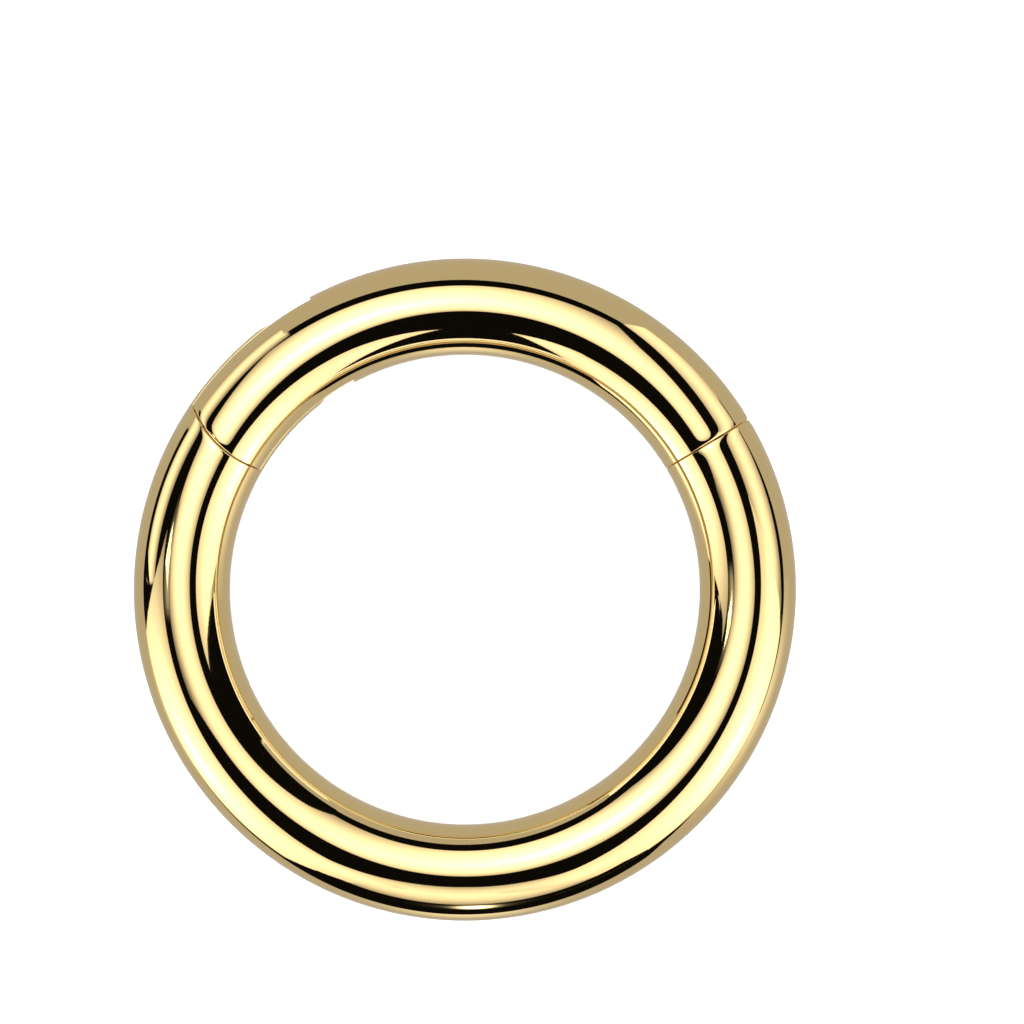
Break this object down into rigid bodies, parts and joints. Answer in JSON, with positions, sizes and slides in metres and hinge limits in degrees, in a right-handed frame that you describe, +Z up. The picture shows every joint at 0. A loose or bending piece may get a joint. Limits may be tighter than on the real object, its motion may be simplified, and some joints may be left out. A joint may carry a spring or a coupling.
{
  "type": "hinged segment clicker ring",
  "caption": "Plain round ring of polished gold-coloured metal, with a hinged segment that swings open and clicks shut.",
  "frame": {"origin": "middle of the ring's hole, on the surface that the flat ring lies on", "axes": "+Z up along the ring's own axis; +Y from the middle of the hole to the middle of the hinged segment's side, the top of the ring in the picture; +X to the picture's right, where the segment closes"},
  "size_m": [0.014, 0.014, 0.002],
  "materials": {
    "polished_gold": "mirror-polished gold-coloured coating on steel",
    "pin_gold": "ground and polished gold-coloured coating on steel"
  },
  "bodies": {
    "hoop": {"hoop": "polished_gold", "catch_pin": "pin_gold"},
    "segment": {"segment": "polished_gold", "hinge_pin": "pin_gold"}
  },
  "joints": [
    {"name": "segment_hinge", "type": "hinge", "parent": "hoop", "child": "segment", "pos_m": [-0.00387, 0.00462, 0.00103], "axis": [0, 0, 1], "range_deg": [0, 110]}
  ]
}
